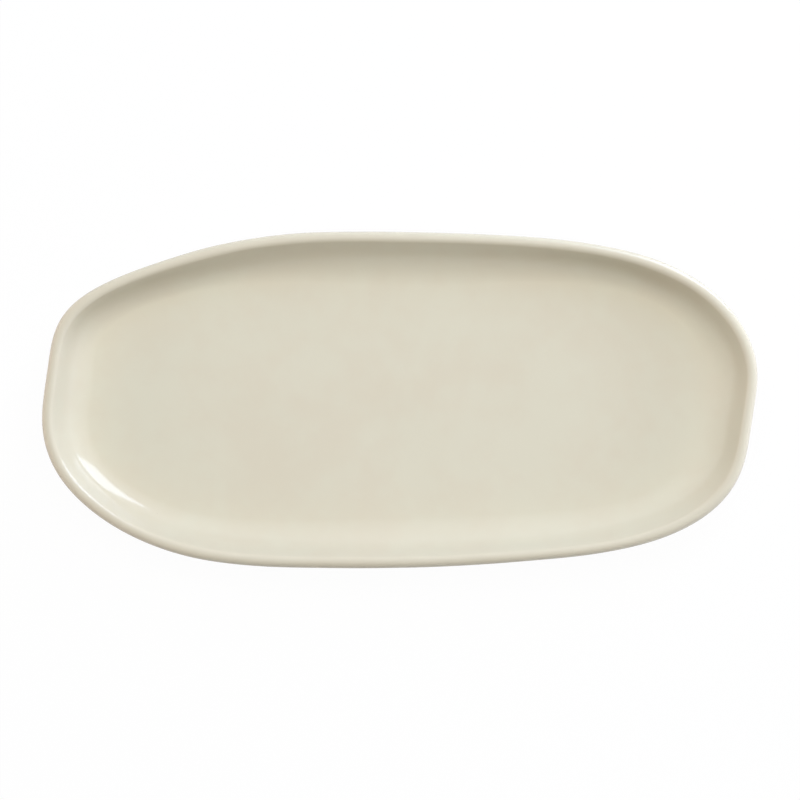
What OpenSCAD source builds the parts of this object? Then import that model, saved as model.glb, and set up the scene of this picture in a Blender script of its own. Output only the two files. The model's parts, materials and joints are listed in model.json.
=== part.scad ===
// Asparagus plate: a long, shallow serving plate of stoneware under a thick cream glaze.
// One section runs from the floor over the cove, the wall and the rolled rim, down the outside
// and across the foot ring. It is a list of stations, each with an inset from the outline and a
// height over the table, and every station is carried round the plate as a ring.
// X runs along the plate, Y across it and Z up. The origin is on the table, under the middle.

/* [Outline] */
// Length over the rim
plate_length = 360; // [250:1:480]
// Width over the rim
plate_width = 170; // [130:1:260]
// Height from the table to the top of the rim
plate_height = 25; // [19:0.5:45]
// Squareness of the outline: 2 is an oval, and more is boxier
outline_squareness = 2.7; // [2:0.1:4]

/* [Wall] */
// Thickness of the floor, the wall and the rolled rim, glaze and all
wall_thickness = 6.2; // [4:0.1:9]
// Slope of the wall's straight part in degrees from level, where its inset share is 1
wall_slope = 58; // [35:1:75]
// Inside radius of the cove between the floor and the wall
cove_radius = 20; // [8:0.5:34]
// Radius of the rim's edge towards the well, which is a little crisper than the rolled outside
rim_edge_radius = 2.7; // [0.8:0.1:3]

/* [Foot ring] */
// Depth of the recess inside the foot ring
foot_height = 2.4; // [1.9:0.1:6]
// Width of the foot ring over its bare clay
foot_width = 6; // [3:0.5:12]
// Level stretch of the underside between the outside curve and the foot ring
foot_setback = 8; // [2:0.5:16]
// Radius of the foot ring's lower edges
foot_edge_radius = 0.7; // [0.2:0.1:0.9]
// Radius of the glaze in the corners between the foot ring and the underside
foot_fillet_radius = 0.8; // [0.2:0.1:1.3]

/* [Glaze] */
// Thickness of the glaze
glaze_thickness = 0.4; // [0.2:0.05:0.8]
// Height of the wiped, bare band at the bottom of the foot ring
bare_band_height = 1; // [0.8:0.1:1.5]

/* [Hidden] */

glaze_colour = "#dad6c3";
clay_colour = "#c9b89c";

// Steps round the outline, and along each curve of the section
outline_steps = 96;
cove_steps = 5;
rim_inner_steps = 3;
rim_outer_steps = 4;
rim_under_steps = 2;
outside_steps = 4;
foot_steps = 2;

// Reach of the hand-made outline at even steps from +X, as shares of the plain oblong's reach
reach_shares = [
    0.995, 1.005, 1.000, 1.005, 1.000, 0.990, 0.995, 1.000, 0.980, 0.975, 1.000, 0.990,
    0.995, 1.000, 0.995, 1.005, 1.025, 1.010, 1.000, 0.985, 0.995, 1.010, 1.000, 0.985
];

// Inset of the wall and the floor's edge from the rim at even steps from +X, as shares of the
// section's: the well is squarer than the outline, so the wall is narrow at its corners
inset_shares = [1.00, 0.70, 0.70, 1.00, 0.70, 0.65, 0.85, 0.75, 0.85, 1.00, 0.95, 0.95];

// Levels
underside_z = foot_height;
floor_z = underside_z + wall_thickness;
rim_radius = wall_thickness / 2;
rim_z = plate_height - rim_radius;
rim_edge_limit_share = 0.9;
rim_edge = min(rim_edge_radius, rim_edge_limit_share * rim_radius);
rim_edge_inset = rim_radius + (rim_radius - rim_edge) * tan(wall_slope / 2);
rim_inner_inset = rim_edge_inset + rim_edge * sin(wall_slope);

// The cove and the outside curve share one centre, and the cove leaves some of the wall straight
wall_rise = rim_z + rim_radius * cos(wall_slope) - floor_z;
cove_limit_share = 0.95;
cove = min(cove_radius, cove_limit_share * wall_rise / (1 - cos(wall_slope)));
wall_run = (wall_rise - cove * (1 - cos(wall_slope))) / tan(wall_slope);
cove_inset = rim_radius * (1 + sin(wall_slope)) + wall_run + cove * sin(wall_slope);

// The foot ring's clay sides, and the glaze on them
foot_outer_inset = cove_inset + foot_setback;
foot_inner_inset = foot_outer_inset + foot_width;
glaze_outer_inset = foot_outer_inset - glaze_thickness;
glaze_inner_inset = foot_inner_inset + glaze_thickness;

// Where the surface faces, at an angle that is 0 straight up and 90 towards the plate's middle
function facing(angle) = [sin(angle), cos(angle)];

// Angles from one to another in even steps
function sweep(first, last, steps) = [for (i = [0:steps]) first + (last - first) * i / steps];

// Stations along an arc: inset and height, and the angle that the surface faces there
function round_arc(centre, radius, angles) = [for (a = angles) [centre + radius * facing(a), a]];
function hollow_arc(centre, radius, angles) = [for (a = angles) [centre - radius * facing(a), a]];

// The rim has a station on its top and on its outermost line, so that the plate has its full size
outside_angle = wall_slope - 180;
rim_angles = concat(
    sweep(0, -90, rim_outer_steps),
    [for (i = [1:rim_under_steps]) -90 + (outside_angle + 90) * i / rim_under_steps]
);

// The glazed face: floor, cove, wall, rim, outside, underside and the foot ring's outer side
cove_centre = [cove_inset, floor_z + cove];
face_stations = concat(
    hollow_arc(cove_centre, cove, sweep(0, wall_slope, cove_steps)),
    round_arc([rim_edge_inset, plate_height - rim_edge], rim_edge, sweep(wall_slope, 0, rim_inner_steps)),
    round_arc([rim_radius, rim_z], rim_radius, rim_angles),
    round_arc(cove_centre, cove + wall_thickness, sweep(outside_angle, -180, outside_steps)),
    hollow_arc([glaze_outer_inset - foot_fillet_radius, underside_z - foot_fillet_radius],
               foot_fillet_radius, sweep(-180, -90, foot_steps)),
    [[[glaze_outer_inset, bare_band_height], -90]]
);

// The bare foot ring, from the glaze's outer edge under to its inner edge
foot_stations = concat(
    round_arc([foot_outer_inset + foot_edge_radius, foot_edge_radius],
              foot_edge_radius, sweep(-90, -180, foot_steps)),
    round_arc([foot_inner_inset - foot_edge_radius, foot_edge_radius],
              foot_edge_radius, sweep(-180, -270, foot_steps))
);

// The glazed base: the foot ring's inner side and the recess inside it
base_stations = concat(
    [[[glaze_inner_inset, bare_band_height], -270]],
    hollow_arc([glaze_inner_inset + foot_fillet_radius, underside_z - foot_fillet_radius],
               foot_fillet_radius, sweep(-270, -180, foot_steps))
);

// Places of stations on the finished surface, and on the clay under the glaze
function finished(stations) = [for (s = stations) s[0]];
function under_glaze(stations) = [for (s = stations) s[0] - glaze_thickness * facing(s[1])];
function reversed(list) = [for (i = [len(list) - 1:-1:0]) list[i]];

// A share at an angle: a smooth curve round the plate through every share of a table
function share_weight(angle, count) =
    sin(angle / 2) == 0 ? 1 : sin(count * angle / 2) / count / tan(angle / 2);
function smooth_share(shares, angle) = let (count = len(shares))
    shares * [for (i = [0:count - 1]) share_weight(angle - 360 * i / count, count)];
function oblong(angle) = let (
    power = outline_squareness,
    size = pow(pow(abs(cos(angle)), power) + pow(abs(sin(angle)), power), 1 / power)
) [plate_length * cos(angle), plate_width * sin(angle)] / size;

// The outline, brought to the plate's length and width about the origin
outline_angles = [for (i = [0:outline_steps - 1]) 360 * i / outline_steps];
free_outline = [for (angle = outline_angles) oblong(angle) * smooth_share(reach_shares, angle)];
low = [for (axis = [0, 1]) min([for (p = free_outline) p[axis]])];
high = [for (axis = [0, 1]) max([for (p = free_outline) p[axis]])];
plate_size = [plate_length, plate_width];
outline = [for (p = free_outline)
    [for (axis = [0, 1])
        plate_size[axis] * ((p[axis] - low[axis]) / (high[axis] - low[axis]) - 1 / 2)]];

// The outline drawn in by an inset, at a height. The shares count from the rim's inner side to the
// floor's edge, and the foot ring takes their mean, so that it follows the outline
drawn_shares = [for (angle = outline_angles) smooth_share(inset_shares, angle)];
mean_share = inset_shares * [for (share = inset_shares) 1] / len(inset_shares);
foot_begins = (cove_inset + glaze_outer_inset - foot_fillet_radius) / 2;
function drawn(inset, share) = let (kept = inset < foot_begins ? share : mean_share)
    inset - (1 - kept) * max(0, min(inset, cove_inset) - rim_inner_inset);
function ring(station) = [for (i = [0:outline_steps - 1])
    let (p = outline[i], inset = drawn(station[0], drawn_shares[i]))
    [p.x * (1 - 2 * inset / plate_length), p.y * (1 - 2 * inset / plate_width), station[1]]];

// A four-sided patch between two rings, split along its shorter diagonal
function patch(points, a, b, c, d) =
    norm(points[a] - points[c]) < norm(points[b] - points[d])
        ? [[a, b, c], [a, c, d]]
        : [[a, b, d], [b, c, d]];

// A solid through rings, from a level face that looks up to one that looks down
module ringed_solid(stations) {
    n = outline_steps;
    bands = len(stations) - 1;
    top_middle = n * len(stations);
    base_middle = top_middle + 1;
    points = concat(
        [for (s = stations) each ring(s)],
        [[0, 0, stations[0][1]], [0, 0, stations[bands][1]]]
    );
    faces = concat(
        [for (i = [0:n - 1]) [top_middle, (i + 1) % n, i]],
        [for (band = [0:bands - 1], i = [0:n - 1])
            let (j = (i + 1) % n, upper = band * n, lower = upper + n)
            each patch(points, upper + i, upper + j, lower + j, lower + i)],
        [for (i = [0:n - 1]) [base_middle, bands * n + i, bands * n + (i + 1) % n]]
    );
    polyhedron(points, faces);
}

// The fired clay, with its foot ring in one piece
module clay_body() {
    color(clay_colour)
    ringed_solid(concat(
        under_glaze(face_stations),
        finished(foot_stations),
        under_glaze(base_stations)
    ));
}

// The glaze over the top, the rim and the outside, down to the foot ring's bare band
module face_glaze() {
    color(glaze_colour)
    ringed_solid(concat(finished(face_stations), reversed(under_glaze(face_stations))));
}

// The glaze in the recess inside the foot ring
module base_glaze() {
    color(glaze_colour)
    ringed_solid(concat(reversed(under_glaze(base_stations)), finished(base_stations)));
}

clay_body();
face_glaze();
base_glaze();
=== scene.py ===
"""Dressed model of a long, shallow asparagus plate in glazed stoneware, on a white studio floor.

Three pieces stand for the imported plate: the glaze over its face, the glaze in the recess under it, and
the fired clay, which shows only as a bare foot ring. Lengths are in metres and angles in radians, unless
a name says degrees. X runs along the plate, Y across it and Z up, and the origin is on the table, under
the plate's middle.
"""

import json
import logging
import math
from dataclasses import dataclass
from enum import Enum
from typing import Any, Mapping, NamedTuple, Optional, Sequence, Union

import bpy
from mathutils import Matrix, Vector, noise


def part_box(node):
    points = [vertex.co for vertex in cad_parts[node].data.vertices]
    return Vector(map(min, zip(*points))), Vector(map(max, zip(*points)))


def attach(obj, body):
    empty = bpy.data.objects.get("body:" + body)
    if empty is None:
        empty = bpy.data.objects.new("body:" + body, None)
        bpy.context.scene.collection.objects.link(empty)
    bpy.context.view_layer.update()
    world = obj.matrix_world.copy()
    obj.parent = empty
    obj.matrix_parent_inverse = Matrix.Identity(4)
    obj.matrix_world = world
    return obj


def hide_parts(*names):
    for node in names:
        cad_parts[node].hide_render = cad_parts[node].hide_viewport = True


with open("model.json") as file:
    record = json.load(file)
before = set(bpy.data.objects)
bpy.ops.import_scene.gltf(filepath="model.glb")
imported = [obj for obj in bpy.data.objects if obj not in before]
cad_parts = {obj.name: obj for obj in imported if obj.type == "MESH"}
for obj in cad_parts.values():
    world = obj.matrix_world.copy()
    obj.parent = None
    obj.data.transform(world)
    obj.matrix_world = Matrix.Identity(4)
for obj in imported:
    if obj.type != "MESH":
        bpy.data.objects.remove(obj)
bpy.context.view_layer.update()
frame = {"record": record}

LOG = logging.getLogger("asparagus_plate")
BODY = "root"
FULL_TURN = 2 * math.pi
TINY_TURN = 1e-9
UP = 0.0
OUTWARD = -math.pi / 2
DOWN = -math.pi
DOWN_INWARD = -3 * math.pi / 2

Colour = tuple[float, float, float]
Point = tuple[float, float, float]


class Node(Enum):
    """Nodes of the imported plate."""

    CLAY = "clay_body"
    FACE = "face_glaze"
    BASE = "base_glaze"


class Slot(Enum):
    """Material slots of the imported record."""

    GLAZE = "glaze"
    BARE_CLAY = "bare_clay"


class Curve(Enum):
    """Which side of an arc is the surface, as the sign of the way from its centre."""

    ROUND = 1
    HOLLOW = -1


class Station(NamedTuple):
    """A place on the plate's section: its inset from the outline, its height, and where it faces.

    A spread under 1 draws the station's whole ring in towards the plate's middle.
    """

    inset: float
    height: float
    facing: float
    spread: float = 1.0

    def sunk(self, depth: float) -> "Station":
        """The station at a depth under this one."""
        inset = self.inset - depth * math.sin(self.facing)
        height = self.height - depth * math.cos(self.facing)
        return self._replace(inset=inset, height=height)


def sweep(first: float, last: float, steps: int) -> list[float]:
    """Even steps between two values.

    Args:
        first: The value to start from.
        last: The value to end on.
        steps: How many steps there are between them.

    Returns:
        The values, with both ends among them.
    """
    return [first + (last - first) * step / steps for step in range(steps + 1)]


def arc(curve: Curve, centre: tuple[float, float], radius: float, facings: Sequence[float]) -> list[Station]:
    """Stations along an arc of the section.

    Args:
        curve: Whether the surface is the arc's round or its hollow side.
        centre: The centre's inset and height.
        radius: The arc's radius.
        facings: The angles that the surface faces, one for each station.

    Returns:
        The stations, in the order of the angles.
    """
    reach = curve.value * radius
    return [
        Station(centre[0] + reach * math.sin(angle), centre[1] + reach * math.cos(angle), angle)
        for angle in facings
    ]


def smooth_step(value: float, low: float, high: float) -> float:
    """How far a value is between two others, eased at both ends.

    Args:
        value: The value to place.
        low: Where the result is 0.
        high: Where the result is 1.

    Returns:
        A share from 0 to 1.
    """
    share = min(1.0, max(0.0, (value - low) / (high - low)))
    return share * share * (3 - 2 * share)


def smooth_share(shares: Sequence[float], turn: float) -> float:
    """A share at a turn from +X, on a smooth curve round the plate through every share of a table.

    Args:
        shares: The table, at even steps from +X.
        turn: The angle round the plate.

    Returns:
        The share there.
    """
    count = len(shares)
    total = 0.0
    for index, share in enumerate(shares):
        away = turn - FULL_TURN * index / count
        if abs(math.sin(away / 2)) < TINY_TURN:
            return share
        total += share * math.sin(count * away / 2) / (count * math.tan(away / 2))
    return total


@dataclass(frozen=True)
class PlateSizes:
    """Sizes that the plate's pieces share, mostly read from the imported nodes."""

    length: float
    width: float
    height: float
    floor_height: float
    underside_height: float
    bare_band: float
    glaze: float
    foot_width: float = 0.006
    foot_setback: float = 0.008
    foot_edge: float = 0.0007
    foot_fillet: float = 0.0008
    rim_edge: float = 0.0027
    cove_radius: float = 0.020
    wall_slope: float = math.radians(58)

    @classmethod
    def from_frame(cls) -> "PlateSizes":
        """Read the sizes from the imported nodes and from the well's mount.

        Returns:
            The plate's sizes.
        """
        face_low, face_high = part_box(Node.FACE.value)
        clay_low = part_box(Node.CLAY.value)[0]
        base_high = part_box(Node.BASE.value)[1]
        mounts = {mount["name"]: mount for mount in frame["record"]["mounts"]}
        glaze = clay_low.x - face_low.x
        return cls(
            length=face_high.x - face_low.x,
            width=face_high.y - face_low.y,
            height=face_high.z,
            floor_height=mounts["well_floor"]["pos_m"][2],
            underside_height=base_high.z - glaze,
            bare_band=face_low.z,
            glaze=glaze,
        )

    @property
    def wall(self) -> float:
        """Thickness of the floor, the wall and the rolled rim."""
        return self.floor_height - self.underside_height

    @property
    def rim_radius(self) -> float:
        """Radius of the rolled rim."""
        return self.wall / 2

    @property
    def rim_height(self) -> float:
        """Height of the rolled rim's centre."""
        return self.height - self.rim_radius

    @property
    def cove_inset(self) -> float:
        """Inset at which the level floor ends and the cove begins."""
        slope = self.wall_slope
        rise = self.rim_height + self.rim_radius * math.cos(slope) - self.floor_height
        run = (rise - self.cove_radius * (1 - math.cos(slope))) / math.tan(slope)
        return self.rim_radius * (1 + math.sin(slope)) + run + self.cove_radius * math.sin(slope)

    @property
    def rim_edge_inset(self) -> float:
        """Inset of the centre of the rim's edge towards the well."""
        return self.rim_radius + (self.rim_radius - self.rim_edge) * math.tan(self.wall_slope / 2)

    @property
    def rim_inner_inset(self) -> float:
        """Inset at which the rim's edge ends and the wall's straight part begins."""
        return self.rim_edge_inset + self.rim_edge * math.sin(self.wall_slope)

    @property
    def foot_outer_inset(self) -> float:
        """Inset of the foot ring's outer side."""
        return self.cove_inset + self.foot_setback

    @property
    def foot_begins(self) -> float:
        """Inset at which the level underside ends and the glaze turns down the foot ring."""
        return self.foot_outer_inset - self.glaze - self.foot_fillet

    @property
    def foot_inner_inset(self) -> float:
        """Inset of the foot ring's inner side."""
        return self.foot_outer_inset + self.foot_width


@dataclass(frozen=True)
class Outline:
    """The plate's free-form outline, and how far its wall comes in from it, both uneven round the plate."""

    length: float
    width: float
    squareness: float = 2.7
    reach_shares: tuple[float, ...] = (
        0.995, 1.005, 1.000, 1.005, 1.000, 0.990, 0.995, 1.000, 0.980, 0.975, 1.000, 0.990,
        0.995, 1.000, 0.995, 1.005, 1.025, 1.010, 1.000, 0.985, 0.995, 1.010, 1.000, 0.985,
    )
    inset_shares: tuple[float, ...] = (
        1.00, 0.70, 0.70, 1.00, 0.70, 0.65, 0.85, 0.75, 0.85, 1.00, 0.95, 0.95,
    )

    def free_point(self, turn: float) -> tuple[float, float]:
        """A point of the outline before it is brought to size.

        Args:
            turn: The angle round the plate.

        Returns:
            The point's x and y.
        """
        power = self.squareness
        size = (abs(math.cos(turn)) ** power + abs(math.sin(turn)) ** power) ** (1 / power)
        reach = smooth_share(self.reach_shares, turn) / size
        return self.length * math.cos(turn) * reach, self.width * math.sin(turn) * reach

    def points(self, count: int) -> list[tuple[float, float]]:
        """The outline, brought to the plate's length and width about the origin.

        Args:
            count: How many points it has.

        Returns:
            The points, anticlockwise from +X.
        """
        free = [self.free_point(FULL_TURN * index / count) for index in range(count)]
        columns = []
        for values, size in zip(zip(*free), (self.length, self.width)):
            low = min(values)
            span = max(values) - low
            columns.append([size * ((value - low) / span - 1 / 2) for value in values])
        return list(zip(*columns))


class Swell(NamedTuple):
    """One wave of an uneven line round the plate: how many there are, where they start, how strong."""

    count: int
    start: float
    share: float


@dataclass(frozen=True)
class HandMade:
    """Unevenness that pressing, fettling and glazing by hand leave in the plate."""

    sizes: PlateSizes
    rim_lift: float = 0.0004
    wall_lean: float = 0.0004
    ripple_height: float = 0.00022
    ripple_length: float = 0.034
    glaze_line_wander: float = 0.00018
    lift_swells: tuple[Swell, ...] = (Swell(2, 0.4, 0.5), Swell(3, 2.1, 0.3), Swell(7, 4.0, 0.2))
    lean_swells: tuple[Swell, ...] = (Swell(3, 1.2, 0.4), Swell(5, 3.3, 0.35), Swell(9, 0.7, 0.25))
    line_swells: tuple[Swell, ...] = (Swell(5, 0.9, 0.4), Swell(11, 2.6, 0.35), Swell(23, 5.1, 0.25))

    @staticmethod
    def wave(swells: Sequence[Swell], turn: float) -> float:
        """Sum of swells at a turn round the plate.

        Args:
            swells: The swells to add up.
            turn: The angle round the plate.

        Returns:
            A value from -1 to 1.
        """
        return sum(swell.share * math.cos(swell.count * turn + swell.start) for swell in swells)

    def upper_share(self, height: float) -> float:
        """How much of the rim's unevenness a height has: none at the floor, all at the rim."""
        return smooth_step(height, self.sizes.floor_height, self.sizes.rim_height)

    def shift(self, station: Station, turn: float) -> tuple[float, float]:
        """How far the wall's and the rim's slow unevenness moves a station.

        Args:
            station: The station to move.
            turn: The angle round the plate.

        Returns:
            The change of its inset and of its height.
        """
        share = self.upper_share(station.height)
        belly = 4 * share * (1 - share)
        lean = belly * self.wall_lean * self.wave(self.lean_swells, turn)
        drop = share * self.rim_lift * (1 + self.wave(self.lift_swells, turn)) / 2
        return lean, -drop

    def ripple(self, place: Vector) -> float:
        """Height of the glaze's slow ripple at a place, which dies away down the foot ring."""
        share = smooth_step(place.z, self.sizes.bare_band, self.sizes.underside_height)
        return share * self.ripple_height * noise.noise(place / self.ripple_length)

    def line_shift(self, station: Station, turn: float) -> float:
        """How far the wiped edge of the glaze strays up or down the foot ring.

        Args:
            station: A station of the glaze.
            turn: The angle round the plate.

        Returns:
            The change of its height, which is nothing above the foot's fillet.
        """
        top = self.sizes.underside_height - self.sizes.foot_fillet
        share = 1 - smooth_step(station.height, self.sizes.bare_band, top)
        return share * self.glaze_line_wander * self.wave(self.line_swells, turn)


@dataclass(frozen=True)
class Section:
    """The plate's section, as stations from the floor over the rim and under the foot ring."""

    sizes: PlateSizes
    middle_share: float = 0.7
    smallest_spread: float = 0.08
    middle_steps: int = 10
    floor_steps: int = 12
    cove_steps: int = 18
    wall_steps: int = 3
    edge_steps: int = 12
    rim_steps: int = 22
    outside_steps: int = 14
    level_steps: int = 3
    fillet_steps: int = 6
    lip_steps: int = 8
    foot_steps: int = 6

    @property
    def middle_inset(self) -> float:
        """Inset of the ring that the rings in the plate's middle are smaller copies of."""
        return self.middle_share * self.sizes.width / 2

    @property
    def lip_radius(self) -> float:
        """Radius of the glaze's rounded edge."""
        return self.sizes.glaze / 2

    @property
    def cove_centre(self) -> tuple[float, float]:
        """Inset and height of the centre that the cove and the outside curve share."""
        return self.sizes.cove_inset, self.sizes.floor_height + self.sizes.cove_radius

    def level(self, last: float, height: float, facing: float) -> list[Station]:
        """Stations of a level floor from the plate's middle, without its last end.

        Args:
            last: The inset that it runs to.
            height: Its height.
            facing: The angle that it faces.

        Returns:
            The stations.
        """
        spreads = sweep(self.smallest_spread, 1.0, self.middle_steps)[:-1]
        middle = [Station(self.middle_inset, height, facing, spread) for spread in spreads]
        insets = sweep(self.middle_inset, last, self.floor_steps)[:-1]
        return [*middle, *(Station(inset, height, facing) for inset in insets)]

    def face(self) -> list[Station]:
        """The finished face from the floor's middle to the foot ring's outer fillet."""
        sizes = self.sizes
        slope = sizes.wall_slope
        cove = arc(Curve.HOLLOW, self.cove_centre, sizes.cove_radius, sweep(UP, slope, self.cove_steps))
        edge_centre = (sizes.rim_edge_inset, sizes.height - sizes.rim_edge)
        edge = arc(Curve.ROUND, edge_centre, sizes.rim_edge, sweep(slope, UP, self.edge_steps))
        rim_centre = (sizes.rim_radius, sizes.rim_height)
        rim = arc(Curve.ROUND, rim_centre, sizes.rim_radius, sweep(UP, slope + DOWN, self.rim_steps))
        outside_radius = sizes.cove_radius + sizes.wall
        outside_facings = sweep(slope + DOWN, DOWN, self.outside_steps)
        outside = arc(Curve.ROUND, self.cove_centre, outside_radius, outside_facings)
        fillet_centre = (sizes.foot_begins, sizes.underside_height - sizes.foot_fillet)
        fillet = arc(Curve.HOLLOW, fillet_centre, sizes.foot_fillet, sweep(DOWN, OUTWARD, self.fillet_steps))
        return [
            *self.level(sizes.cove_inset, sizes.floor_height, UP),
            *cove,
            *self.between(cove[-1], edge[0], self.wall_steps),
            *edge,
            *self.between(edge[-1], rim[0], self.level_steps),
            *rim,
            *self.between(rim[-1], outside[0], self.wall_steps),
            *outside,
            *self.between(outside[-1], fillet[0], self.level_steps),
            *fillet,
        ]

    def between(self, first: Station, last: Station, steps: int) -> list[Station]:
        """Stations along a straight stretch, without either end.

        Args:
            first: The station that it starts from.
            last: The station that it runs to.
            steps: How many steps it has.

        Returns:
            The stations, which face as its start does.
        """
        insets = sweep(first.inset, last.inset, steps)
        heights = sweep(first.height, last.height, steps)
        return [Station(inset, height, first.facing) for inset, height in zip(insets, heights)][1:-1]

    def outer_lip(self) -> list[Station]:
        """The glaze's rounded edge on the foot ring's outer side."""
        centre = (self.sizes.foot_outer_inset - self.lip_radius, self.sizes.bare_band + self.lip_radius)
        return arc(Curve.ROUND, centre, self.lip_radius, sweep(OUTWARD, DOWN_INWARD, self.lip_steps))

    def foot(self) -> list[Station]:
        """The bare foot ring, from its outer side under to its inner side."""
        sizes = self.sizes
        edge = sizes.foot_edge
        outer = arc(Curve.ROUND, (sizes.foot_outer_inset + edge, edge), edge,
                    sweep(OUTWARD, DOWN, self.foot_steps))
        inner = arc(Curve.ROUND, (sizes.foot_inner_inset - edge, edge), edge,
                    sweep(DOWN, DOWN_INWARD, self.foot_steps))
        return [*outer, *self.between(outer[-1], inner[0], self.level_steps), *inner]

    def inner_lip(self) -> list[Station]:
        """The glaze's rounded edge on the foot ring's inner side."""
        centre = (self.sizes.foot_inner_inset + self.lip_radius, self.sizes.bare_band + self.lip_radius)
        return arc(Curve.ROUND, centre, self.lip_radius, sweep(OUTWARD, DOWN_INWARD, self.lip_steps))

    def base(self) -> list[Station]:
        """The finished recess under the plate, from the foot ring's inner fillet to the middle."""
        sizes = self.sizes
        fillet_inset = sizes.foot_inner_inset + sizes.glaze + sizes.foot_fillet
        fillet_centre = (fillet_inset, sizes.underside_height - sizes.foot_fillet)
        fillet = arc(Curve.HOLLOW, fillet_centre, sizes.foot_fillet,
                     sweep(DOWN_INWARD, DOWN, self.fillet_steps))
        recess = self.level(fillet_inset, sizes.underside_height, DOWN)
        return [*fillet, *reversed(recess)]

    def under_glaze(self, stations: Sequence[Station]) -> list[Station]:
        """The clay's surface under finished stations."""
        return [station.sunk(self.sizes.glaze) for station in stations]


class RingMesh:
    """A closed mesh through rings, from a level patch that looks up to one that looks down."""

    def __init__(self, rings: Sequence[Sequence[Point]]) -> None:
        """Join the rings.

        Args:
            rings: Rings of equally many points, anticlockwise from above, in the section's order.
        """
        self.count = len(rings[0])
        self.points = [point for ring in rings for point in ring]
        self.faces: list[tuple[int, ...]] = []
        for band in range(len(rings) - 1):
            self._join(band * self.count, (band + 1) * self.count)
        self._close(0, looks_up=True)
        self._close((len(rings) - 1) * self.count, looks_up=False)

    def _join(self, upper: int, lower: int) -> None:
        """Add the faces between two rings, given the first point of each."""
        for index in range(self.count):
            after = (index + 1) % self.count
            self.faces.append((upper + index, lower + index, lower + after, upper + after))

    def _close(self, first: int, looks_up: bool) -> None:
        """Close the mesh at a ring with a fan about the ring's middle.

        Args:
            first: The ring's first point.
            looks_up: Whether the fan looks up or down.
        """
        ring = self.points[first:first + self.count]
        middle = len(self.points)
        self.points.append(tuple(sum(values) / self.count for values in zip(*ring)))
        for index in range(self.count):
            edge = (first + index, first + (index + 1) % self.count)
            self.faces.append((middle, *(edge if looks_up else reversed(edge))))

    def piece(self, name: str) -> bpy.types.Object:
        """Make the mesh an object of the scene.

        Args:
            name: The piece's name.

        Returns:
            The new object, shaded smooth.
        """
        mesh = bpy.data.meshes.new(name)
        mesh.from_pydata(self.points, [], self.faces)
        mesh.shade_smooth()
        made = bpy.data.objects.new(name, mesh)
        bpy.context.scene.collection.objects.link(made)
        return made


class PlateForm:
    """Carries stations of the section round the plate's outline."""

    def __init__(self, sizes: PlateSizes, hand_made: HandMade, count: int = 288) -> None:
        """Work out the outline.

        Args:
            sizes: The plate's sizes.
            hand_made: The plate's unevenness.
            count: How many points a ring has.
        """
        self.sizes = sizes
        self.hand_made = hand_made
        outline = Outline(sizes.length, sizes.width)
        self.outline = outline.points(count)
        self.turns = [FULL_TURN * index / count for index in range(count)]
        self.shares = [smooth_share(outline.inset_shares, turn) for turn in self.turns]
        self.mean_share = sum(outline.inset_shares) / len(outline.inset_shares)
        self.inward = [self._inward(index) for index in range(count)]

    def _inward(self, index: int) -> Vector:
        """The level direction into the plate at a point of the outline."""
        before = Vector(self.outline[index - 1])
        after = Vector(self.outline[(index + 1) % len(self.outline)])
        along = (after - before).normalized()
        return Vector((-along.y, along.x, 0))

    def drawn(self, inset: float, index: int) -> float:
        """How far a place of the section is really drawn in at a point of the outline.

        Args:
            inset: The inset in the section.
            index: The outline point's place in its list.

        Returns:
            The inset there. The shares count from the rim's inner side to the floor's edge, and from
            there to the foot ring they fade to their mean.
        """
        sizes = self.sizes
        fade = smooth_step(inset, sizes.cove_inset, sizes.foot_begins)
        share = self.shares[index] + fade * (self.mean_share - self.shares[index])
        within = min(inset, sizes.cove_inset) - sizes.rim_inner_inset
        return inset - (1 - share) * max(0.0, within)

    def place(self, station: Station, index: int) -> Vector:
        """Where a station is at a point of the outline, with the slow unevenness.

        Args:
            station: The station.
            index: The outline point's place in its list.

        Returns:
            The place.
        """
        x, y = self.outline[index]
        lean, lift = self.hand_made.shift(station, self.turns[index])
        inset = self.drawn(station.inset, index) + lean
        x_share = station.spread * (1 - 2 * inset / self.sizes.length)
        y_share = station.spread * (1 - 2 * inset / self.sizes.width)
        return Vector((x * x_share, y * y_share, station.height + lift))

    def plain_ring(self, station: Station) -> list[Point]:
        """A ring of the clay's surface."""
        return [tuple(self.place(station, index)) for index in range(len(self.outline))]

    def glazed_ring(self, station: Station) -> list[Point]:
        """A ring of the glaze's surface, with its fine ripple and its straying edge.

        Args:
            station: The ring's station.

        Returns:
            The ring's points.
        """
        ring = []
        for index, inward in enumerate(self.inward):
            place = self.place(station, index)
            normal = inward * math.sin(station.facing) + Vector((0, 0, math.cos(station.facing)))
            place += normal * self.hand_made.ripple(place)
            place.z += self.hand_made.line_shift(station, self.turns[index])
            ring.append(tuple(place))
        return ring


Value = Union["Signal", float, Sequence[float]]


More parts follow.
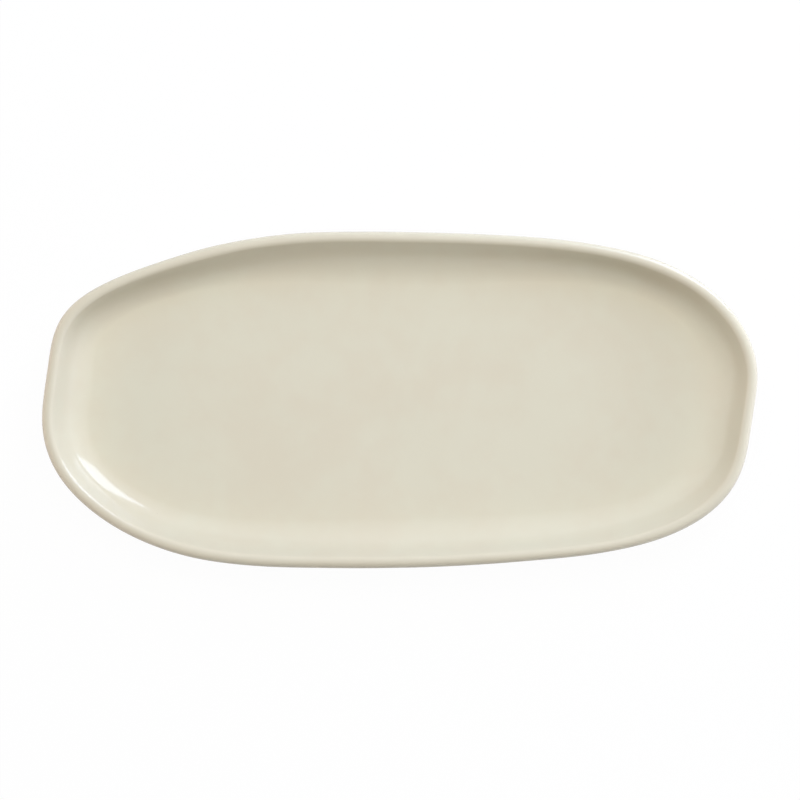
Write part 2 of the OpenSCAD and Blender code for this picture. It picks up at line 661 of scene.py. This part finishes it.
class Signal:
    """A shader socket that takes part in sums: an expression on it adds the Math nodes it needs."""

    def __init__(self, graph: "ShaderGraph", socket: bpy.types.NodeSocket) -> None:
        """Wrap a socket of a graph."""
        self.graph = graph
        self.socket = socket

    def _math(self, operation: str, first: Value, second: Value) -> "Signal":
        """The result of a Math node on two values."""
        return self.graph.node("ShaderNodeMath", {"operation": operation}, {0: first, 1: second})

    def __add__(self, other: Value) -> "Signal":
        """This plus another value."""
        return self._math("ADD", self, other)

    def __radd__(self, other: Value) -> "Signal":
        """Another value plus this."""
        return self._math("ADD", other, self)

    def __sub__(self, other: Value) -> "Signal":
        """This less another value."""
        return self._math("SUBTRACT", self, other)

    def __rsub__(self, other: Value) -> "Signal":
        """Another value less this."""
        return self._math("SUBTRACT", other, self)

    def __mul__(self, other: Value) -> "Signal":
        """This times another value."""
        return self._math("MULTIPLY", self, other)

    def __rmul__(self, other: Value) -> "Signal":
        """Another value times this."""
        return self._math("MULTIPLY", other, self)

    def __lt__(self, other: Value) -> "Signal":
        """1 where this is less than another value, and 0 elsewhere."""
        return self._math("LESS_THAN", self, other)


class ShaderGraph:
    """A node tree that is written as expressions."""

    def __init__(self, tree: bpy.types.NodeTree) -> None:
        """Empty a node tree and write in it."""
        tree.nodes.clear()
        self.tree = tree

    @staticmethod
    def _find(sockets: Any, key: Union[int, str]) -> bpy.types.NodeSocket:
        """A socket by its place, its identifier or its name."""
        if isinstance(key, int):
            return sockets[key]
        named = {socket.identifier: socket for socket in sockets}
        return named.get(key) or sockets[key]

    def node(
        self,
        kind: str,
        settings: Optional[Mapping[str, Any]] = None,
        sockets: Optional[Mapping[Union[int, str], Value]] = None,
        output: Union[int, str] = 0,
    ) -> Signal:
        """Add a node.

        Args:
            kind: The node's type.
            settings: Its settings, which are set before its sockets.
            sockets: Values or links for its sockets, by place, identifier or name.
            output: The output to return.

        Returns:
            The output, or the node's first input where it has no output.
        """
        made = self.tree.nodes.new(kind)
        for name, setting in (settings or {}).items():
            setattr(made, name, setting)
        for key, value in (sockets or {}).items():
            socket = self._find(made.inputs, key)
            if isinstance(value, Signal):
                self.tree.links.new(value.socket, socket)
            else:
                socket.default_value = value
        return Signal(self, self._find(made.outputs or made.inputs, output))

    def place(self) -> Signal:
        """Where a point is on the plate."""
        return self.node("ShaderNodeTexCoord", output="Object")

    def height(self, place: Signal) -> Signal:
        """The height of a place."""
        return self.node("ShaderNodeSeparateXYZ", sockets={"Vector": place}, output="Z")

    def cloud(self, place: Signal, size: float, detail: float = 2.0, roughness: float = 0.5) -> Signal:
        """Soft noise.

        Args:
            place: Where it is read.
            size: The size of its patches.
            detail: How many finer layers it has.
            roughness: How strong the finer layers are.

        Returns:
            A value about 0.5.
        """
        sockets = {"Vector": place, "Scale": 1 / size, "Detail": detail, "Roughness": roughness}
        return self.node("ShaderNodeTexNoise", sockets=sockets)

    def ramp(self, value: Signal, low: float, high: float) -> Signal:
        """How far a value is between two others, eased at both ends."""
        sockets = {"Value": value, "From Min": low, "From Max": high}
        return self.node("ShaderNodeMapRange", {"interpolation_type": "SMOOTHSTEP"}, sockets)

    def specks(self, place: Signal, spacing: float, radius: float, kept: float) -> Signal:
        """Small round specks, scattered at random.

        Args:
            place: Where they are read.
            spacing: The mean distance between places that may hold one.
            radius: A speck's radius.
            kept: The share of the places that hold one.

        Returns:
            1 in a speck and 0 elsewhere.
        """
        sockets = {"Vector": place, "Scale": 1 / spacing}
        away = self.node("ShaderNodeTexVoronoi", sockets=sockets, output="Distance")
        draw = self.node("ShaderNodeTexVoronoi", sockets=sockets, output="Color")
        chance = self.node("ShaderNodeSeparateColor", sockets={"Color": draw}, output="Red")
        return (1 - self.ramp(away, radius / spacing / 2, radius / spacing)) * (chance < kept)

    def blend(self, share: Value, first: Value, second: Value) -> Signal:
        """A colour between two others.

        Args:
            share: How much of the second there is.
            first: The colour at 0.
            second: The colour at 1.

        Returns:
            The blended colour.
        """
        sockets = {"Factor_Float": share, "A_Color": first, "B_Color": second}
        return self.node("ShaderNodeMix", {"data_type": "RGBA"}, sockets, "Result_Color")

    def bump(self, height: Signal, depth: float) -> Signal:
        """A normal that follows a height.

        Args:
            height: The height, from 0 to 1.
            depth: The real height of 1.

        Returns:
            The normal.
        """
        sockets = {"Height": height, "Distance": depth, "Strength": 1.0}
        return self.node("ShaderNodeBump", sockets=sockets, output="Normal")


def opaque(colour: Colour) -> tuple[float, float, float, float]:
    """A colour with its alpha, as colour sockets take it."""
    return (*colour, 1.0)


@dataclass(frozen=True)
class CreamGlaze:
    """A thick, glossy cream glaze with soft clouds, a thinner and warmer coat on the rim, and pinholes."""

    sizes: PlateSizes
    pale: Colour = (0.662, 0.634, 0.497)
    deep: Colour = (0.654, 0.610, 0.474)
    thin: Colour = (0.650, 0.602, 0.468)
    speck: Colour = (0.36, 0.31, 0.22)
    cloud_size: float = 0.050
    cloud_detail: float = 3.0
    cloud_share: float = 0.65
    mottle_size: float = 0.011
    tone_low: float = 0.35
    tone_high: float = 0.65
    peel_size: float = 0.0045
    peel_depth: float = 0.00002
    speck_spacing: float = 0.016
    speck_radius: float = 0.00035
    speck_kept: float = 0.35
    speck_strength: float = 0.45
    speck_dulling: float = 0.2
    thin_strength: float = 0.5
    thin_depth: float = 0.0035
    thin_least: float = 0.6
    thin_mottle: float = 0.8
    roughness: float = 0.09
    roughness_spread: float = 0.06
    refraction: float = 1.55

    def material(self) -> bpy.types.Material:
        """Make the glaze.

        Returns:
            The material.
        """
        made = bpy.data.materials.new("cream_glaze")
        made.use_nodes = True
        graph = ShaderGraph(made.node_tree)
        place = graph.place()
        clouds = graph.cloud(place, self.cloud_size, detail=self.cloud_detail)
        mottle = graph.cloud(place, self.mottle_size)
        peel = graph.cloud(place, self.peel_size)
        specks = graph.specks(place, self.speck_spacing, self.speck_radius, self.speck_kept)
        mixed = clouds * self.cloud_share + mottle * (1 - self.cloud_share)
        tone = graph.ramp(mixed, self.tone_low, self.tone_high)
        coat = graph.blend(tone, opaque(self.deep), opaque(self.pale))
        top = self.sizes.height
        thinning = graph.ramp(graph.height(place), top - self.thin_depth, top) * self.thin_strength
        patchy = thinning * (self.thin_least + self.thin_mottle * mottle)
        warmed = graph.blend(patchy, coat, opaque(self.thin))
        colour = graph.blend(specks * self.speck_strength, warmed, opaque(self.speck))
        gloss = self.roughness + self.roughness_spread * mottle + self.speck_dulling * specks
        surface = graph.node("ShaderNodeBsdfPrincipled", sockets={
            "Base Color": colour,
            "Roughness": gloss,
            "IOR": self.refraction,
            "Normal": graph.bump(peel - specks, self.peel_depth),
        })
        graph.node("ShaderNodeOutputMaterial", sockets={"Surface": surface})
        return made


@dataclass(frozen=True)
class BareClay:
    """Matte buff stoneware with a sandy grain, dark iron specks and a toasted line along the glaze."""

    sizes: PlateSizes
    pale: Colour = (0.60, 0.50, 0.36)
    deep: Colour = (0.50, 0.40, 0.27)
    toast: Colour = (0.36, 0.21, 0.10)
    iron: Colour = (0.13, 0.08, 0.05)
    grain_size: float = 0.0011
    grain_detail: float = 4.0
    grain_roughness: float = 0.65
    grain_share: float = 0.6
    patch_size: float = 0.018
    tone_low: float = 0.3
    tone_high: float = 0.7
    iron_spacing: float = 0.0045
    iron_radius: float = 0.0003
    iron_kept: float = 0.5
    iron_strength: float = 0.8
    toast_reach: float = 0.0007
    toast_strength: float = 0.7
    toast_least: float = 0.5
    grain_depth: float = 0.00012
    roughness: float = 0.78
    roughness_spread: float = 0.2

    def material(self) -> bpy.types.Material:
        """Make the clay.

        Returns:
            The material.
        """
        made = bpy.data.materials.new("bare_stoneware")
        made.use_nodes = True
        graph = ShaderGraph(made.node_tree)
        place = graph.place()
        grain = graph.cloud(place, self.grain_size, self.grain_detail, self.grain_roughness)
        patches = graph.cloud(place, self.patch_size)
        iron = graph.specks(place, self.iron_spacing, self.iron_radius, self.iron_kept)
        mixed = grain * self.grain_share + patches * (1 - self.grain_share)
        tone = graph.ramp(mixed, self.tone_low, self.tone_high)
        body = graph.blend(tone, opaque(self.deep), opaque(self.pale))
        line = self.sizes.bare_band
        toasted = graph.ramp(graph.height(place), line - self.toast_reach, line) * self.toast_strength
        warmed = graph.blend(toasted * (self.toast_least + patches), body, opaque(self.toast))
        colour = graph.blend(iron * self.iron_strength, warmed, opaque(self.iron))
        surface = graph.node("ShaderNodeBsdfPrincipled", sockets={
            "Base Color": colour,
            "Roughness": self.roughness + self.roughness_spread * grain,
            "Normal": graph.bump(grain, self.grain_depth),
        })
        graph.node("ShaderNodeOutputMaterial", sockets={"Surface": surface})
        return made


def dress(piece: bpy.types.Object, material: bpy.types.Material, node: Node) -> None:
    """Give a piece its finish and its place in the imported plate.

    Args:
        piece: The piece.
        material: Its finish.
        node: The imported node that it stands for.
    """
    piece.data.materials.append(material)
    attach(piece, BODY)
    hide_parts(node.value)
    LOG.info("%s: %d points, stands for %s", piece.name, len(piece.data.vertices), node.value)


@dataclass
class GlazedFace:
    """The glaze over the floor, the wall, the rolled rim and the outside, down to the foot ring."""

    form: PlateForm
    section: Section
    name: str = "glazed_face"

    def build(self, glaze: bpy.types.Material) -> bpy.types.Object:
        """Build the glaze's shell and dress it.

        Args:
            glaze: The glaze's finish.

        Returns:
            The piece.
        """
        face = self.section.face()
        shown = [self.form.glazed_ring(station) for station in [*face, *self.section.outer_lip()]]
        hidden = [self.form.plain_ring(station) for station in self.section.under_glaze(face)]
        piece = RingMesh([*shown, *reversed(hidden)]).piece(self.name)
        dress(piece, glaze, Node.FACE)
        return piece


@dataclass
class GlazedBase:
    """The glaze in the recess inside the foot ring."""

    form: PlateForm
    section: Section
    name: str = "glazed_base"

    def build(self, glaze: bpy.types.Material) -> bpy.types.Object:
        """Build the glaze's shell and dress it.

        Args:
            glaze: The glaze's finish.

        Returns:
            The piece.
        """
        base = self.section.base()
        hidden = [self.form.plain_ring(station) for station in self.section.under_glaze(base)]
        shown = [self.form.glazed_ring(station) for station in [*self.section.inner_lip(), *base]]
        piece = RingMesh([*reversed(hidden), *shown]).piece(self.name)
        dress(piece, glaze, Node.BASE)
        return piece


@dataclass
class FiredClay:
    """The fired clay: all of the plate under the glaze, and the bare foot ring that it stands on."""

    form: PlateForm
    section: Section
    name: str = "fired_clay"

    def build(self, clay: bpy.types.Material) -> bpy.types.Object:
        """Build the clay and dress it.

        Args:
            clay: The clay's finish.

        Returns:
            The piece.
        """
        face = self.section.under_glaze(self.section.face())
        base = self.section.under_glaze(self.section.base())
        rings = [self.form.plain_ring(station) for station in [*face, *self.section.foot(), *base]]
        piece = RingMesh(rings).piece(self.name)
        dress(piece, clay, Node.CLAY)
        return piece


@dataclass(frozen=True)
class Softbox:
    """A soft rectangular lamp that looks at the plate, placed by its bearing from the back and its rise.

    Only a mirrored lamp shows in gloss. The others stand for light that comes from all over the studio.
    """

    name: str
    bearing_degrees: float
    rise_degrees: float
    distance: float
    width: float
    height: float
    radiance: float
    colour: Colour = (1.0, 1.0, 1.0)
    roll_degrees: float = 0.0
    mirrored: bool = False

    def build(self) -> bpy.types.Object:
        """Hang the lamp.

        Returns:
            The lamp.
        """
        light = bpy.data.lights.new(self.name, "AREA")
        light.shape = "RECTANGLE"
        light.size = self.width
        light.size_y = self.height
        light.energy = self.radiance * math.pi * self.width * self.height
        light.color = self.colour
        made = bpy.data.objects.new(self.name, light)
        made.visible_glossy = self.mirrored
        bearing = math.radians(self.bearing_degrees)
        rise = math.radians(self.rise_degrees)
        level = Vector((math.sin(bearing), math.cos(bearing), 0)) * math.cos(rise)
        made.location = (level + Vector((0, 0, math.sin(rise)))) * self.distance
        made.rotation_euler = (-made.location).to_track_quat("-Z", "Y").to_euler()
        made.rotation_euler.rotate_axis("Z", math.radians(self.roll_degrees))
        bpy.context.scene.collection.objects.link(made)
        return made


@dataclass(frozen=True)
class Studio:
    """A white floor, a white surround and soft lamps."""

    floor_half: float = 6.0
    floor_shade: float = 0.9
    floor_glow: float = 0.965
    surround: Colour = (0.0, 0.0, 0.0)
    lamps: tuple[Softbox, ...] = (
        Softbox("overhead", 0, 84, 1.4, 2.0, 1.6, 2.0, (1.03, 1.0, 0.975)),
        Softbox("over_back", 10, 58, 1.4, 2.0, 0.9, 0.7, (0.96, 1.0, 1.02)),
        Softbox("key", 36.7, 19, 1.2, 0.51, 1.24, 4.3, (0.86, 1.0, 1.32), roll_degrees=-24, mirrored=True),
        Softbox("right_low", 88, 9, 1.3, 1.4, 0.4, 4.9, (1.0, 1.0, 1.2)),
        Softbox("left_low", 272, 9, 1.3, 1.4, 0.4, 2.1, (1.3, 1.0, 1.02)),
    )

    @staticmethod
    def seen(graph: ShaderGraph) -> Signal:
        """1 for what the camera sees, straight or in gloss or glass, and 0 for light that scatters."""
        rays = ("Is Camera Ray", "Is Glossy Ray", "Is Transmission Ray")
        camera, glossy, glass = (graph.node("ShaderNodeLightPath", output=ray) for ray in rays)
        return graph.node("ShaderNodeMath", {"operation": "MAXIMUM"}, {
            0: camera,
            1: graph.node("ShaderNodeMath", {"operation": "MAXIMUM"}, {0: glossy, 1: glass}),
        })

    def build_floor(self) -> bpy.types.Object:
        """Lay the floor, which glows white and keeps the plate's shadow.

        Returns:
            The floor.
        """
        half = self.floor_half
        mesh = bpy.data.meshes.new("studio_floor")
        corners = [(-half, -half, 0), (half, -half, 0), (half, half, 0), (-half, half, 0)]
        mesh.from_pydata(corners, [], [(0, 1, 2, 3)])
        finish = bpy.data.materials.new("white_floor")
        finish.use_nodes = True
        graph = ShaderGraph(finish.node_tree)
        white = opaque((self.floor_shade,) * 3)
        matte = graph.node("ShaderNodeBsdfDiffuse", sockets={"Color": white})
        glow = graph.node("ShaderNodeEmission", sockets={"Strength": 1.0})
        share = self.seen(graph) * self.floor_glow
        mixed = graph.node("ShaderNodeMixShader", sockets={0: share, 1: matte, 2: glow})
        graph.node("ShaderNodeOutputMaterial", sockets={"Surface": mixed})
        mesh.materials.append(finish)
        floor = bpy.data.objects.new("studio_floor", mesh)
        bpy.context.scene.collection.objects.link(floor)
        return floor

    def build_surround(self) -> None:
        """Set the world: white where it is seen, and dark where it isn't, as the lamps give the light."""
        world = bpy.data.worlds.new("studio_surround")
        world.use_nodes = True
        graph = ShaderGraph(world.node_tree)
        soft = graph.node("ShaderNodeBackground", sockets={"Color": opaque(self.surround)})
        white = graph.node("ShaderNodeBackground", sockets={"Color": opaque((1.0, 1.0, 1.0))})
        mixed = graph.node("ShaderNodeMixShader", sockets={0: self.seen(graph), 1: soft, 2: white})
        graph.node("ShaderNodeOutputWorld", sockets={"Surface": mixed})
        bpy.context.scene.world = world

    def build(self) -> None:
        """Lay the floor, set the surround and hang the lamps."""
        self.build_floor()
        self.build_surround()
        for lamp in self.lamps:
            lamp.build()
        LOG.info("studio: floor, surround and %d lamps", len(self.lamps))


@dataclass(frozen=True)
class PhotoCamera:
    """A camera nearly straight above the plate, at the photograph's viewing angle."""

    distance: float = 1.2
    rise_degrees: float = 85.0
    target: Point = (0.0, 0.0003, 0.012)
    sensor_mm: float = 36.0
    lens_mm: float = 106.45

    def build(self) -> bpy.types.Object:
        """Set up the camera.

        Returns:
            The camera.
        """
        data = bpy.data.cameras.new("photo_camera")
        data.sensor_width = self.sensor_mm
        data.lens = self.lens_mm
        made = bpy.data.objects.new("photo_camera", data)
        rise = math.radians(self.rise_degrees)
        away = Vector((0, -math.cos(rise), math.sin(rise))) * self.distance
        made.location = Vector(self.target) + away
        made.rotation_euler = (math.pi / 2 - rise, 0, 0)
        bpy.context.scene.collection.objects.link(made)
        bpy.context.scene.camera = made
        return made


def main() -> None:
    """Build the plate's pieces, the studio and the camera."""
    logging.basicConfig(level=logging.INFO, format="%(message)s")
    bpy.context.scene.view_settings.view_transform = "Standard"
    sizes = PlateSizes.from_frame()
    form = PlateForm(sizes, HandMade(sizes))
    section = Section(sizes)
    glaze = CreamGlaze(sizes).material()
    clay = BareClay(sizes).material()
    PhotoCamera().build()
    FiredClay(form, section).build(clay)
    GlazedFace(form, section).build(glaze)
    GlazedBase(form, section).build(glaze)
    Studio().build()


if __name__ == "__main__":
    main()
